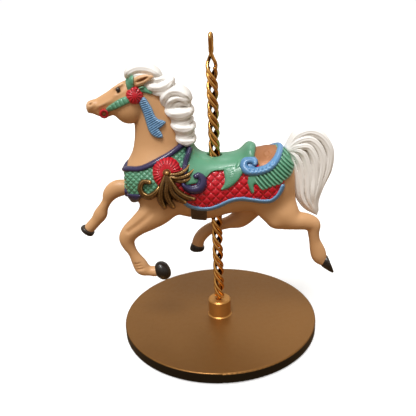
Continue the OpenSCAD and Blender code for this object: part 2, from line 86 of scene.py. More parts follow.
def nearest(x, z, rows, reach=None):
    """For each place in a plane, the nearest point on a polyline of [x, z, ...] rows: distance, side, length
    along it, and the rows' further numbers there. Where reach names a column, a wider stretch counts as
    nearer."""
    best = np.full(np.broadcast(x, z).shape, 1e9, np.float32)
    out = [np.zeros_like(best) for _ in range(3 + len(rows[0]) - 2)]
    gone = 0.0
    for p, q in zip(rows[:-1], rows[1:]):
        dx, dz = q[0] - p[0], q[1] - p[1]
        length = math.hypot(dx, dz)
        if length < 1e-6:
            continue
        s = np.clip(((x - p[0]) * dx + (z - p[1]) * dz) / length ** 2, 0, 1)
        ex, ez = x - p[0] - s * dx, z - p[1] - s * dz
        d = np.hypot(ex, ez)
        more = [p[k] + s * (q[k] - p[k]) for k in range(2, len(p))]
        score = d - more[reach] if reach is not None else d
        near = score < best
        best = np.where(near, score, best)
        for o, v in zip(out, [d, np.sign(dx * ez - dz * ex), gone + s * length] + more):
            o[near] = v[near]
        gone += length
    return out


# ---------- Distance fields ----------

class Grid:
    def __init__(self, lo, hi, h):
        self.lo, self.h = np.array(lo, np.float32), h
        n = [int(math.ceil((b - a) / h)) + 1 for a, b in zip(lo, hi)]
        ax = [(np.float32(a) + np.float32(h) * np.arange(k, dtype=np.float32)) for a, k in zip(lo, n)]
        self.x, self.y, self.z = ax[0][:, None, None], ax[1][None, :, None], ax[2][None, None, :]
        self.shape = tuple(n)


def union(a, b, k=0.0):
    if k <= 0:
        return np.minimum(a, b)
    h = np.maximum(k - np.abs(a - b), 0) / k
    return np.minimum(a, b) - h * h * k * 0.25


def cut(a, b, k=0.0):
    """Field a with field b taken out of it."""
    return -union(-a, b, k)


def oval(g, centre, radii, tilt=0.0):
    """An ellipsoid, turned by tilt degrees in the side view."""
    x, y, z = g.x - centre[0], g.y - centre[1], g.z - centre[2]
    c, s = math.cos(math.radians(tilt)), math.sin(math.radians(tilt))
    x, z = c * x + s * z, c * z - s * x
    a, b, d = radii
    f = np.sqrt((x / a) ** 2 + (y / b) ** 2 + (z / d) ** 2)
    return f * (f - 1) / np.sqrt((x / a ** 2) ** 2 + (y / b ** 2) ** 2 + (z / d ** 2) ** 2 + 1e-9)


def limb(g, rows, steps=8, strands=0, depth=0.0, twist=0.0, square=2.0):
    """A limb along a curve whose rows are [x, y, z, half depth, half width], depth in the side view.
    Strands carve that many grooves along it, and square over 2 flattens its sides."""
    p = smooth(rows, steps)[:, [0, 2, 1, 3, 4]]
    d, side, along, yc, a, b = [v[:, None, :] for v in nearest(g.x[:, 0], g.z[0], p, 1)]
    a, b = np.maximum(a, 0.15), np.maximum(b, 0.15)
    u, v = d / a, np.abs(g.y - yc) / b
    if square == 2:
        f = np.sqrt(u * u + v * v)
        out = f * (f - 1) / np.sqrt((u / a) ** 2 + (v / b) ** 2 + 1e-9)
    else:
        u1, v1 = u ** (square - 1), v ** (square - 1)
        f = (u1 * u + v1 * v + 1e-9) ** (1 / square)
        out = (f - 1) * f ** (square - 1) / np.sqrt((u1 / a) ** 2 + (v1 / b) ** 2 + 1e-9)
        out = np.minimum(out, 6)
    if strands:
        turn = np.arctan2(v, u * side)
        out = out + depth * np.minimum(1, a / 1.2) * (0.5 + 0.5 * np.cos(strands * turn + twist * along)) ** 2
    return out


def soften(f, rounds):
    """Evens a field out over its neighbours, which rounds off creases."""
    for _ in range(rounds):
        for axis in range(3):
            f = np.swapaxes(f, 0, axis)
            g = f.copy()
            g[1:-1] = 0.5 * f[1:-1] + 0.25 * (f[:-2] + f[2:])
            f = np.swapaxes(g, 0, axis)
    return f


def stack(g, rows, axis):
    """A body through upright or level ovals: [place along axis, middle, half size, half width]."""
    r = smooth(rows, 6)
    if axis == "x":
        at, other = g.x, g.z
    else:
        at, other = g.z, g.x
    mid, half, wide = [np.interp(at.ravel(), r[:, 0],
                                 r[:, k]).reshape(at.shape).astype(np.float32) for k in (1, 2, 3)]
    f = np.sqrt(((other - mid) / half) ** 2 + (g.y / wide) ** 2)
    d = f * (f - 1) / np.sqrt(((other - mid) / half ** 2) ** 2 + (g.y / wide ** 2) ** 2 + 1e-9)
    return np.maximum(d, np.maximum(r[0, 0] - at, at - r[-1, 0]))


# ---------- The horse's shape ----------

BARREL = [[-30.5, 60.2, 6.6, 5], [-29, 60.4, 8.2, 6.6], [-26, 60.6, 10.2, 8.8], [-22, 60.3, 11.6, 9.8],
          [-17, 59.6, 12.5, 10.3], [-11, 58.2, 13, 10.6], [-3, 56.6, 12.4, 10.4], [5, 57.4, 11.3, 10],
          [12, 58.5, 11.6, 10.2], [18, 58.8, 11.4, 10.5], [23, 59.5, 11.1, 9.8], [26.5, 60.2, 9.8, 8.2],
          [28.6, 60.6, 8, 6.4]]
NECK = [[60, -21.5, 10.2, 8], [66, -21.8, 10.8, 7.6], [72, -21.2, 9.7, 6.6], [78, -20.5, 9.1, 5.8],
        [84, -20.8, 8.5, 5.2], [90, -22, 7.4, 4.6], [94, -23.8, 6, 4], [97, -25, 4.2, 3]]
HEAD = [[-24, 0, 92.6, 5.4, 3.9], [-28.5, 0, 91.7, 7.1, 4.8], [-32, 0, 91.1, 6.3, 4.7],
        [-35.6, 0, 90.6, 4.8, 4.1],
        [-39.2, 0, 90.1, 3.5, 3.3], [-42, 0, 89.6, 2.7, 2.9], [-45.4, 0, 89.2, 2.25, 2.5]]
NEAR_FORE = [[-18, -5.2, 57, 7.4, 4], [-21.6, -5.6, 51.2, 6.6, 4], [-25.6, -6.2, 47.6, 5.2, 3.9],
             [-30, -6.6, 44.6, 4, 3.4], [-33.4, -6.8, 41.9, 3.5, 3], [-35.1, -6.8, 39.2, 3.15, 2.8],
             [-34.8, -6.8, 36.3, 2.5, 2.4], [-33.4, -6.8, 33, 1.95, 2], [-32.2, -6.8, 30.2, 2.35, 2.2],
             [-31, -6.8, 27.7, 2.9, 2.5], [-30, -6.8, 25.7, 2.85, 2.5], [-27.6, -6.8, 24.6, 1.95, 2.1],
             [-25.3, -6.8, 24.4, 2.2, 2.3]]
FAR_FORE = [[-24, 5, 57.4, 5.6, 3.6], [-30, 6, 56.1, 3.9, 3.4], [-35, 6.7, 55.6, 3.1, 3],
            [-39.6, 7, 55, 3.55, 3],
            [-42.6, 7, 53, 3, 2.7], [-44.4, 7, 49.8, 1.95, 2], [-46.3, 7, 46.8, 2.1, 2.1],
            [-47.6, 7, 44.2, 2.8, 2.5], [-49.6, 7, 41.5, 2.35, 2.3], [-52.6, 7, 38.4, 2.3, 2.4]]
NEAR_HIND = [[20.5, -4.8, 60, 7.4, 4.2], [21.6, -5, 53, 8.2, 4.4], [24.8, -5.9, 47.6, 6.6, 4.6],
             [29.2, -6.5, 44.5, 3.9, 3.8], [33.8, -6.8, 43.8, 3.35, 3.2], [36.9, -6.8, 42.4, 2.9, 2.8],
             [37.2, -6.8, 39.2, 2.25, 2.4], [37.8, -6.8, 35.4, 2.2, 2.1], [38.9, -6.8, 31.8, 2.9, 2.4],
             [39.7, -6.8, 29.1, 3, 2.6], [40.5, -6.8, 27.2, 2.2, 2.2], [41.9, -6.8, 26.4, 1.9, 2]]
FAR_HIND = [[17.5, 4.6, 56, 7.2, 4], [14.8, 5.4, 49, 6.4, 4.2], [12, 6.3, 43.6, 4.9, 3.8],
            [9.3, 7, 40.2, 3.9, 3.4],
            [5, 7, 38.7, 2.6, 2.7], [1, 7, 37.6, 2.4, 2.4], [-3, 7, 36.1, 2.45, 2.3],
            [-6, 7, 33.8, 2.55, 2.3],
            [-7.8, 7, 31.2, 2.5, 2.4], [-8.3, 7, 29, 2.55, 2.4]]


def coat_field(g, fine=True):
    """The bare horse: barrel, neck, head, ears and legs as one moulded skin."""
    f = stack(g, BARREL, "x")
    f = union(f, oval(g, (-24, 0, 60.5), (8.8, 9.6, 10.4)), 4)              # chest
    f = union(f, oval(g, (20.5, 0, 60.2), (9.3, 10.2, 10.2)), 4)           # rump
    f = union(f, stack(g, NECK, "z"), 5)
    for y in (-1, 1):
        f = union(f, oval(g, (-19.5, 5.4 * y, 60), (6.6, 5.6, 8.8), -20), 3)   # shoulders
        f = union(f, oval(g, (-27.5, 3.6 * y, 62), (5, 4.6, 6.4)), 3)          # breast
        f = union(f, oval(g, (20, 5.2 * y, 59), (7.6, 5.8, 9.6), -18), 3)      # haunches
    for rows in (NEAR_FORE, FAR_FORE, NEAR_HIND, FAR_HIND):
        f = union(f, limb(g, rows), 2.8)
    f = union(f, oval(g, (22.6, -5.9, 44.2), (3, 3.6, 2.9), 20), 1.6)                    # stifle
    f = soften(f, int(round(0.5 / g.h ** 2)))
    head = limb(g, HEAD)
    for y in (-1, 1):
        head = union(head, oval(g, (-30.6, 1.5 * y, 88.5), (5.5, 4, 5.6)), 1.2)          # jowl
        head = union(head, oval(g, (-33.4, 2.7 * y, 96.8), (1.8, 0.9, 0.4), 28), 1.3)      # brow
        head = union(head, oval(g, (-33.4, 3.5 * y, 94.2), (2, 0.8, 0.4), 22), 0.9)      # lower lid
        head = union(head, oval(g, (-37, 3 * y, 91.7), (4.6, 0.9, 0.5), 22), 1.2)        # cheekbone
        head = union(head, oval(g, (-43.9, 1.5 * y, 90.4), (1.7, 1.3, 1), 20), 1.2)      # nostril's rim
        head = cut(head, oval(g, (-44.2, 2.9 * y, 90.7), (0.8, 0.9, 0.25), 34), 0.5)      # nostril
        head = cut(head, oval(g, (-33.5, 4.7 * y, 95.5), (1.3, 1.1, 1.05), 20), 0.9)    # eye socket
        head = cut(head, oval(g, (-43.6, 3.4 * y, 87.75), (3.2, 1.2, 0.28), -2), 0.4)    # mouth
    head = union(head, oval(g, (-40.8, 0, 87.2), (3.4, 2.3, 1.7), -14), 1.2)             # lower jaw
    head = cut(head, g.x + 46.3, 1.4)                                                    # blunt muzzle
    f = union(f, head, 0.7)
    for y in (-1, 1):
        ear = limb(g, [[-28.4, 3.4 * y, 97.1, 1, 1.1], [-26.4, 4.2 * y, 98.2, 1.75, 1.2],
                       [-23.7, 4.7 * y, 99.2, 1.45, 1.1], [-20.8, 4.9 * y, 99.9, 0.4, 0.4]])
        ear = cut(ear, oval(g, (-24.9, 5.9 * y, 98.8), (3.1, 1.3, 0.55), 21), 0.3)
        f = union(f, ear, 0.6)
    if fine:
        f = cut(f, limb(g, [[-25, -10.9, 50, 0.3, 0.8], [-27, -10.8, 48.2, 0.4, 1],
                            [-30, -10.6, 45.8, 0.5, 1],
                            [-34, -10.2, 43, 0.3, 0.8]]), 1.6)                           # forearm groove
        for k in range(3):
            f = cut(f, oval(g, (-31.9 + 0.5 * k, -9.4, 28.8 - 1.1 * k), (1.9, 0.7, 0.2), 10), 0.8)
    return f


# ---------- The side view that raised work is drawn on ----------

class Sheet:
    """Heights over the coat, in mm, over the side view."""
    lo, hi, h = (-50, 38), (32, 108), 0.125

    def __init__(self):
        self.x = np.arange(self.lo[0], self.hi[0], self.h, dtype=np.float32)[:, None]
        self.z = np.arange(self.lo[1], self.hi[1], self.h, dtype=np.float32)[None, :]

    def area(self, points, steps=4):
        """Signed distance to a closed outline, negative inside."""
        p = np.asarray(points, float)
        if steps > 1:
            n = len(p)
            p = smooth(np.vstack([p[-2:], p, p[:2]]), steps)[2 * steps:(n + 2) * steps]
        d = nearest(self.x, self.z, np.vstack([p, p[:1]]))[0]
        inside = np.zeros(d.shape, bool)
        for a, b in zip(p, np.roll(p, -1, 0)):
            if a[1] != b[1]:
                across = (self.z >= min(a[1], b[1])) & (self.z < max(a[1], b[1]))
                inside ^= across & (self.x < a[0] + (self.z - a[1]) * (b[0] - a[0]) / (b[1] - a[1]))
        return np.where(inside, -d, d)

    def sample(self, heights, g):
        """The heights at every voxel, looked up along the view's own lines of sight."""
        scale = (SHEET_Y - EYE_Y) / (-np.abs(g.y) - EYE_Y)
        u = (g.x * scale - self.lo[0]) / self.h
        v = (EYE_Z + (g.z - EYE_Z) * scale - self.lo[1]) / self.h
        n, m = heights.shape
        i = np.clip(u.astype(np.int32), 0, n - 2)
        j = np.clip(v.astype(np.int32), 0, m - 2)
        a, b = np.clip(u - i, 0, 1), np.clip(v - j, 0, 1)
        flat = heights.ravel()
        k = i * m + j
        low = flat[k] * (1 - b) + flat[k + 1] * b
        high = flat[k + m] * (1 - b) + flat[k + m + 1] * b
        return low * (1 - a) + high * a


S = Sheet()
DROP = 5.0                                       # how steeply the edge of raised work falls


def slab(sd, t, soft=0.4):
    """A flat layer t thick with a soft edge, from a signed distance."""
    edge = np.clip(1 + sd / soft, 0, 1)
    return np.where(sd < 0, t - 0.5 * soft * edge ** 2, t - 0.5 * soft - DROP * sd)


def roll(rows, foot, rise, steps=5, power=0.5, groove=0.0, grooves=0):
    """A rounded cord along [x, z, radius] rows, standing on foot."""
    d, side, along, r = nearest(S.x, S.z, smooth(rows, steps), 0)
    r = np.maximum(r, 0.05)
    q = np.clip(1 - (d / r) ** 2, 0, 1)
    top = foot + np.minimum(rise, rise * r / 0.8) * q ** power
    if grooves:
        top = top - groove * (1 - np.abs(np.sin(math.pi * grooves * (d * side / r + 1) / 2))) ** 2 * q
    return np.where(d < r, top, foot - DROP * (d - r))


def highest(*many):
    out = many[0]
    for m in many[1:]:
        out = np.maximum(out, m)
    return out


# ---------- Meshes ----------

def polygonise(g, field):
    grid = vdb.FloatGrid(3 * g.h)
    grid.copyFromArray(np.ascontiguousarray(np.clip(field, -3 * g.h, 3 * g.h), np.float32))
    points, _, quads = grid.convertToPolygons(isovalue=0.0, adaptivity=0.0)
    return points * g.h + g.lo, quads


def bodies_of(n, edges):
    """A label for every vertex, the same over each connected part."""
    label = np.arange(n)
    while True:
        low = np.minimum(label[edges[:, 0]], label[edges[:, 1]])
        new = label.copy()
        np.minimum.at(new, label[edges[:, 0]], low)
        np.minimum.at(new, label[edges[:, 1]], low)
        new = new[new]
        if (new == label).all():
            return label
        label = new


def tidy(points, quads, least):
    """Leaves out specks: parts with fewer faces than least."""
    edges = np.vstack([quads[:, [0, 1]], quads[:, [1, 2]]])
    label = bodies_of(len(points), edges)
    count = np.bincount(label[quads[:, 0]], minlength=len(points))
    keep = count[label[quads[:, 0]]] >= least
    quads = quads[keep]
    used, quads = np.unique(quads, return_inverse=True)
    return points[used], quads.reshape(-1, 4)


def hollow(points, quads, rounds):
    """How hollow the surface is at each vertex: 0.5 flat, over it in grooves, under it on ridges."""
    n = len(points)
    e = np.vstack([quads[:, [0, 1]], quads[:, [1, 2]], quads[:, [2, 3]], quads[:, [3, 0]]])
    i, j = np.hstack([e[:, 0], e[:, 1]]), np.hstack([e[:, 1], e[:, 0]])
    normal = np.zeros((n, 3))
    across = np.cross(points[quads[:, 2]] - points[quads[:, 0]], points[quads[:, 3]] - points[quads[:, 1]])
    for k in range(3):
        for c in range(4):
            normal[:, k] += np.bincount(quads[:, c], across[:, k], n)
    normal /= np.linalg.norm(normal, axis=1, keepdims=True) + 1e-12
    d = points[j] - points[i]
    count = np.bincount(i, minlength=n) + 1e-9
    spread = np.bincount(i, (d * d).sum(1), n)
    value = np.clip(np.bincount(i, (d * normal[i]).sum(1), n) / np.maximum(spread, 0.6 * np.median(spread)),
                    -1.5, 1.5)
    for _ in range(rounds):
        value = 0.4 * value + 0.6 * np.bincount(i, value[j], n) / count
    return np.clip(0.5 + 0.35 * value, 0, 1)


def build(name, points, faces, material, body="horse", nodes=(), hollows=None):
    mesh = bpy.data.meshes.new(name)
    pts = np.array(points, np.float64)
    pts[:, 2] += DECK
    sides = faces.shape[1]
    mesh.vertices.add(len(pts))
    mesh.vertices.foreach_set("co", (pts * 0.001).ravel())
    mesh.loops.add(faces.size)
    mesh.loops.foreach_set("vertex_index", faces.ravel().astype(np.int32))
    mesh.polygons.add(len(faces))
    mesh.polygons.foreach_set("loop_start", np.arange(0, faces.size, sides, dtype=np.int32))
    mesh.polygons.foreach_set("use_smooth", np.ones(len(faces), bool))
    mesh.update(calc_edges=True)
    if hollows is not None:
        mesh.attributes.new("hollow", "FLOAT", "POINT").data.foreach_set("value", hollows.astype(np.float32))
    mesh.materials.append(material)
    obj = bpy.data.objects.new(name, mesh)
    scene.collection.objects.link(obj)
    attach(obj, body)
    if nodes:
        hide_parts(*nodes)
    return obj


def relax(points, quads, rounds):
    """Evens out a mesh without shrinking it."""
    e = np.vstack([quads[:, [0, 1]], quads[:, [1, 2]], quads[:, [2, 3]], quads[:, [3, 0]]])
    i, j = np.hstack([e[:, 0], e[:, 1]]), np.hstack([e[:, 1], e[:, 0]])
    count = np.bincount(i, minlength=len(points))[:, None] + 1e-9
    for _ in range(rounds):
        for step in (0.5, -0.52):
            mean = np.stack([np.bincount(i, points[j, k], len(points)) for k in range(3)], 1) / count
            points = points + step * (mean - points)
    return points


def sculpt(name, g, field, material, nodes=(), least=60, rounds=2, even=1):
    points, quads = tidy(*polygonise(g, field), least)
    points = relax(points, quads, even)
    if not len(quads):
        raise RuntimeError(name + " came out empty")
    return build(name, points, quads, material, nodes=nodes, hollows=hollow(points, quads, rounds))


# ---------- Materials ----------

def node(tree, kind, **values):
    n = tree.nodes.new(kind)
    for key, v in values.items():
        if key in n.inputs:
            n.inputs[key].default_value = v
        else:
            setattr(n, key, v)
    return n


def paint(name, base, painted_groove_shade, painted_ridge_highlight, rough=0.35, metal=0.0, coat=0.0, mottle=0.12, grain=0.04, scale=60.0,
          groove=(0.52, 0.72), ridge=(0.48, 0.28), specular=0.5, from_mesh=True, side=None):
    """Hand-laid paint: a base colour that drifts a little, with painted shade in the grooves and painted
    highlights on the ridges, and where side is given, upright faces painted darker as a painted reflection.
    """
    mat = bpy.data.materials.new(name)
    mat.use_nodes = True
    t = mat.node_tree
    link = t.links.new
    bsdf = t.nodes["Principled BSDF"]
    bsdf.inputs["Metallic"].default_value = metal
    bsdf.inputs["Coat Weight"].default_value = coat
    bsdf.inputs["Coat Roughness"].default_value = 0.12
    bsdf.inputs["Specular IOR Level"].default_value = specular
    place = node(t, "ShaderNodeTexCoord")
    drift = node(t, "ShaderNodeTexNoise", Scale=scale, Detail=3.0)
    link(place.outputs["Object"], drift.inputs["Vector"])
    fine = node(t, "ShaderNodeTexNoise", Scale=scale * 22, Detail=2.0)
    link(place.outputs["Object"], fine.inputs["Vector"])
    span = node(t, "ShaderNodeMapRange", **{"From Min": 0.3, "From Max": 0.7, "To Min": 0.0, "To Max": 1.0})
    link(drift.outputs["Fac"], span.inputs["Value"])
    low = [c * (1 - mottle) for c in base[:3]] + [1]
    high = [min(1, c * (1 + mottle)) for c in base[:3]] + [1]
    body = node(t, "ShaderNodeMix", data_type="RGBA")
    a, b = [s for s in body.inputs if s.type == "RGBA"]
    out = [s for s in body.outputs if s.type == "RGBA"][0]
    a.default_value, b.default_value = low, high
    link(span.outputs["Result"], body.inputs[0])
    colour = out
    if from_mesh:
        mark = node(t, "ShaderNodeAttribute", attribute_name="hollow")
        # painted shade darkens the grooves and a painted highlight lightens the ridges, by how hollow the
        # mesh is there
        for bounds, shade in ((groove, painted_groove_shade), (ridge, painted_ridge_highlight)):
            step = node(t, "ShaderNodeMapRange", interpolation_type="SMOOTHSTEP",
                        **{"From Min": bounds[0], "From Max": bounds[1], "To Min": 0.0, "To Max": 1.0})
            link(mark.outputs["Fac"], step.inputs["Value"])
            mix = node(t, "ShaderNodeMix", data_type="RGBA")
            rgba = [s for s in mix.inputs if s.type == "RGBA"]
            link(colour, rgba[0])
            rgba[1].default_value = list(shade[:3]) + [1]
            link(step.outputs["Result"], mix.inputs[0])
            colour = [s for s in mix.outputs if s.type == "RGBA"][0]
    if side:                                     # the upright faces are painted darker than the level ones, a painted reflection of dark surroundings
        facing = node(t, "ShaderNodeNewGeometry")
        parts = node(t, "ShaderNodeSeparateXYZ")
        link(facing.outputs["Normal"], parts.inputs["Vector"])
        step = node(t, "ShaderNodeMapRange", **{"From Min": 0.15, "From Max": 0.6, "To Min": 1.0,
                                                "To Max": 0.0})
        link(parts.outputs["Z"], step.inputs["Value"])
        mix = node(t, "ShaderNodeMix", data_type="RGBA")
        rgba = [s for s in mix.inputs if s.type == "RGBA"]
        link(colour, rgba[0])
        rgba[1].default_value = list(side[:3]) + [1]
        link(step.outputs["Result"], mix.inputs[0])
        colour = [s for s in mix.outputs if s.type == "RGBA"][0]
    link(colour, bsdf.inputs["Base Color"])
    worn = node(t, "ShaderNodeMapRange", **{"From Min": 0.3, "From Max": 0.7, "To Min": rough * 0.85,
                                            "To Max": rough * 1.2})
    link(fine.outputs["Fac"], worn.inputs["Value"])
    link(worn.outputs["Result"], bsdf.inputs["Roughness"])
    bump = node(t, "ShaderNodeBump", Strength=grain, Distance=0.0003)
    link(fine.outputs["Fac"], bump.inputs["Height"])
    link(bump.outputs["Normal"], bsdf.inputs["Normal"])
    return mat


def srgb(r, g, b):
    return [((c / 255) / 12.92 if c <= 10 else ((c / 255 + 0.055) / 1.055) ** 2.4) for c in (r, g, b)]


# In each paint the second colour is painted shade for the grooves and the third a painted highlight for the
# ridges; paints that do not read the mesh leave both unused
COAT = paint("coat_tan", srgb(207, 158, 110), srgb(134, 80, 40), srgb(228, 186, 144), 0.42, mottle=0.05,
             scale=40,
             groove=(0.515, 0.66), ridge=(0.48, 0.36))
HAIR = paint("hair_white", srgb(247, 245, 241), srgb(140, 128, 114), srgb(252, 251, 249), 0.36, mottle=0.01,
             groove=(0.52, 0.72), ridge=(0.48, 0.2))
EYE = paint("eye_black", srgb(22, 15, 12), srgb(8, 6, 5), srgb(40, 28, 22), 0.1, coat=0.5, scale=200)
HOOF = paint("hoof_black", srgb(30, 24, 20), srgb(16, 12, 10), srgb(56, 46, 38), 0.3, scale=120)
RED = paint("quilt_red", srgb(196, 16, 36), srgb(104, 6, 16), srgb(224, 70, 82), 0.3, coat=0.15, scale=90,
            groove=(0.52, 0.72), ridge=(0.4, 0.1))
GREEN = paint("paint_green", srgb(88, 150, 118), srgb(36, 86, 60), srgb(140, 196, 166), 0.32, coat=0.1,
              scale=90,
              groove=(0.52, 0.72), ridge=(0.44, 0.15))
BLUE = paint("paint_blue", srgb(92, 142, 188), srgb(46, 80, 118), srgb(158, 198, 228), 0.32, coat=0.1,
             scale=90,
             groove=(0.52, 0.75), ridge=(0.42, 0.15))
NAVY = paint("paint_navy", srgb(50, 44, 84), srgb(24, 20, 42), srgb(104, 98, 146), 0.3, coat=0.2, scale=90,
             groove=(0.52, 0.78), ridge=(0.36, 0.1))
GOLD = paint("paint_gold", srgb(98, 68, 34), srgb(36, 24, 12), srgb(232, 186, 116), 0.28, metal=0.5,
             mottle=0.15,
             groove=(0.5, 0.66), ridge=(0.45, 0.2))
COPPER = paint("paint_copper", srgb(160, 102, 58), srgb(120, 66, 38), srgb(200, 150, 96), 0.42, metal=0.2)
BROWN = paint("paint_brown", srgb(58, 44, 36), srgb(26, 20, 16), srgb(84, 66, 52), 0.45, scale=150)
WIRE = paint("wire_brass", srgb(222, 166, 92), srgb(84, 50, 24), srgb(236, 190, 118), 0.2, metal=1.0,
             mottle=0.15,
             scale=150, grain=0.02, groove=(0.5, 0.8), ridge=(0.3, 0.0))
BRASS = paint("plain_brass", srgb(205, 146, 74), srgb(70, 40, 18), srgb(238, 196, 128), 0.25, metal=1.0,
              mottle=0.15,
              scale=150, grain=0.02, from_mesh=False)
# the side colour is a painted reflection of dark surroundings on the disc's upright rim
BRONZE = paint("base_bronze", srgb(138, 96, 48), srgb(60, 40, 20), srgb(200, 150, 80), 0.38, metal=0.7,
               mottle=0.06,
               scale=25, grain=0.05, from_mesh=False, side=srgb(42, 36, 26))
BOSS = paint("boss_bronze", srgb(190, 136, 70), srgb(60, 40, 20), srgb(200, 150, 80), 0.34, metal=0.7,
             mottle=0.06,
             scale=60, grain=0.05, from_mesh=False)
FELT = paint("felt", srgb(30, 28, 27), srgb(18, 17, 16), srgb(44, 42, 40), 0.95, mottle=0.3, scale=800,
             grain=0.6,
             specular=0.1, from_mesh=False)
STEEL = paint("steel", srgb(190, 190, 192), srgb(90, 90, 92), srgb(220, 220, 222), 0.3, metal=1.0, scale=300,
              from_mesh=False)


# ---------- Coat, hooves and eyes ----------

coat_h = 0.32
G = Grid((-57, -12.5, 20), (47, 12.5, 101.5), coat_h)
coat = coat_field(G)
coat = cut(coat, np.sqrt(G.x ** 2 + G.y ** 2) - 2.3)
sculpt("coat", G, coat, COAT,
       ("torso", "neck", "head", "ears", "near_fore_leg", "far_fore_leg", "near_hind_leg", "far_hind_leg"),
       rounds=6, even=3)

hoof_h = 0.22


def hoof(name, rows, sole, lo, hi, top=None, body=None):
    """A hoof flares along its rows, or is a given egg shape. Planes in side view cut it: point, direction."""
    g = Grid(lo, hi, hoof_h)
    f = oval(g, *body) if body else limb(g, rows)
    for (px, pz), (nx, nz), k in [(*sole, 0.8)] + ([(*top, 0.3)] if top else []):
        f = -union(-f, -((g.x - px) * nx + (g.z - pz) * nz) / math.hypot(nx, nz), k)
    sculpt(name, g, f, HOOF, (name,), rounds=4, even=2)


hoof("near_fore_hoof", None, ((-19.3, 25.2), (0.92, 0.4)), (-30, -12, 18), (-15, -1, 31),
     ((-25.2, 24.5), (-1, 0)), ((-22.2, -6.8, 24.6), (4, 3.3, 3.1), -62))
hoof("far_fore_hoof", [[-52.4, 7, 38.5, 2.5, 2.6], [-53.6, 7, 37.3, 2.9, 2.9], [-56, 7, 34.8, 3.3, 3.2]],
     ((-54.2, 36.2), (-0.65, -0.76)), (-60, 1, 30), (-47, 13, 43), ((-53.2, 37.8), (0.61, 0.79)))
hoof("near_hind_hoof", [[42.2, -6.8, 26.5, 2.3, 2.3], [43.4, -6.8, 26, 2.9, 2.8], [46, -6.8, 25, 3.6, 3.2]],
     ((44.2, 26), (0.93, 0.36)), (38, -12, 20), (50, -1, 32))
hoof("far_hind_hoof", [[-8, 7, 30, 2.6, 2.6], [-8.5, 7, 27.8, 2.95, 2.9], [-9, 7, 25, 3.3, 3.2]],
     ((-8.8, 26.6), (-0.05, -1)), (-14, 1, 22), (-3, 13, 34), ((-8.2, 29.1), (0.3, 0.95)))

g = Grid((-36.5, -6.5, 92), (-30.5, 6.5, 99), 0.14)
eyes = union(oval(g, (-33.5, -3.65, 95.5), (0.85, 0.8, 0.95), 10),
             oval(g, (-33.5, 3.65, 95.5), (0.85, 0.8, 0.95), 10))
sculpt("eyes", g, eyes, EYE, ("eyes",))


# ---------- Hair ----------

hair_h = 0.24


def hair(name, locks, lo, hi, k=0.3, strands=8, depth=0.14, square=2.5, core=1):
    """Locks as [rows, half width]: a row is [x, z, half depth]. They overlap with soft creases between. The
    last ones are the body of hair under the others."""
    g = Grid(lo, hi, hair_h)
    f = None
    for n, (rows, wide) in enumerate(locks):
        full = [[x, 0, z, r, wide * min(1, 0.25 + r / 2)] for x, z, r in rows]
        under_hair = n >= len(locks) - core
        one = limb(g, full, strands=0 if under_hair else strands, depth=depth, twist=0.25 + 0.1 * (n % 3),
                   square=square)
        f = one if f is None else union(f, one, 1.0 if under_hair else k)
    sculpt(name, g, f, HAIR, (name,), rounds=8, even=4)


hair("mane", [
    ([[-24, 96.8, 0.8], [-21.6, 96.1, 1.9], [-18.6, 95.7, 2.3], [-16, 96.5, 2.2], [-14.4, 97.9, 1.1]], 5.6),
    ([[-23.6, 95.6, 0.5], [-20.6, 94.1, 1.3], [-17.8, 93.9, 1.5], [-15.2, 95.2, 1.2]], 5.3),
    ([[-22.5, 98.8, 1], [-19.8, 98.4, 1.7], [-17.6, 98.5, 1.2], [-16, 98.3, 0.6]], 4.6),
    ([[-18, 89.6, 0.9], [-17.4, 92.2, 1.9], [-15.2, 94.1, 2.1], [-12.4, 94.2, 2.2], [-9.9, 92.8, 1.9],
      [-8.3, 91.2, 1]], 6),
    ([[-16.9, 88.6, 0.8], [-15.3, 91, 1.5], [-12.6, 92, 1.5], [-9.6, 91.1, 1.4], [-8.6, 90.3, 0.8]], 6.1),
    ([[-15.8, 88, 0.7], [-13.8, 89.7, 1.2], [-11.2, 90.1, 1.3], [-8.8, 89.3, 1]], 6),
    ([[-17.3, 87.6, 0.9], [-15, 86.6, 2.1], [-11.6, 86.2, 2.8], [-8.9, 86.8, 2.1]], 6.3),
    ([[-16.4, 84.6, 0.4], [-13.4, 83, 1.1], [-10.4, 82.8, 1.2], [-8, 83.6, 0.8]], 6),
    ([[-16, 83, 0.8], [-13.4, 81.3, 1.9], [-10.4, 80.7, 2.4], [-8.2, 81, 1.7]], 6.1),
    ([[-15, 79.6, 0.4], [-12.4, 78, 1], [-9.6, 77.7, 1.2], [-7.8, 78.4, 0.8]], 5.7),
    ([[-14.7, 78, 0.8], [-12.3, 76.4, 1.7], [-9.8, 75.9, 2.1], [-7.9, 76.2, 1.4]], 5.5),
    ([[-17.4, 95.4, 2.6], [-14.2, 90, 4.2], [-12.4, 84, 3.8], [-11.2, 78, 3.3], [-10.4, 75.4, 1.6]], 4.8),
], (-26, -8, 71), (-4, 8, 101), strands=10, depth=0.16)
hair("forelock", [
    ([[-30.5, 99.8, 0.8], [-29.2, 101.4, 1.9], [-26.2, 102.4, 2.3], [-22.6, 102, 2.2], [-19.8, 100.6, 1.6],
      [-18.2, 99, 0.7]], 4.6),
    ([[-29.6, 99, 0.8], [-27, 100, 1.6], [-23.4, 99.9, 1.7], [-20, 99.2, 1.3]], 4.4),
    ([[-28.5, 98.6, 1.2], [-25, 98.6, 1.8], [-21.4, 98.2, 1.8], [-18.6, 98, 1.2]], 3.4),
], (-33, -7, 94), (-15, 7, 106), strands=12, depth=0.16, square=2.4)
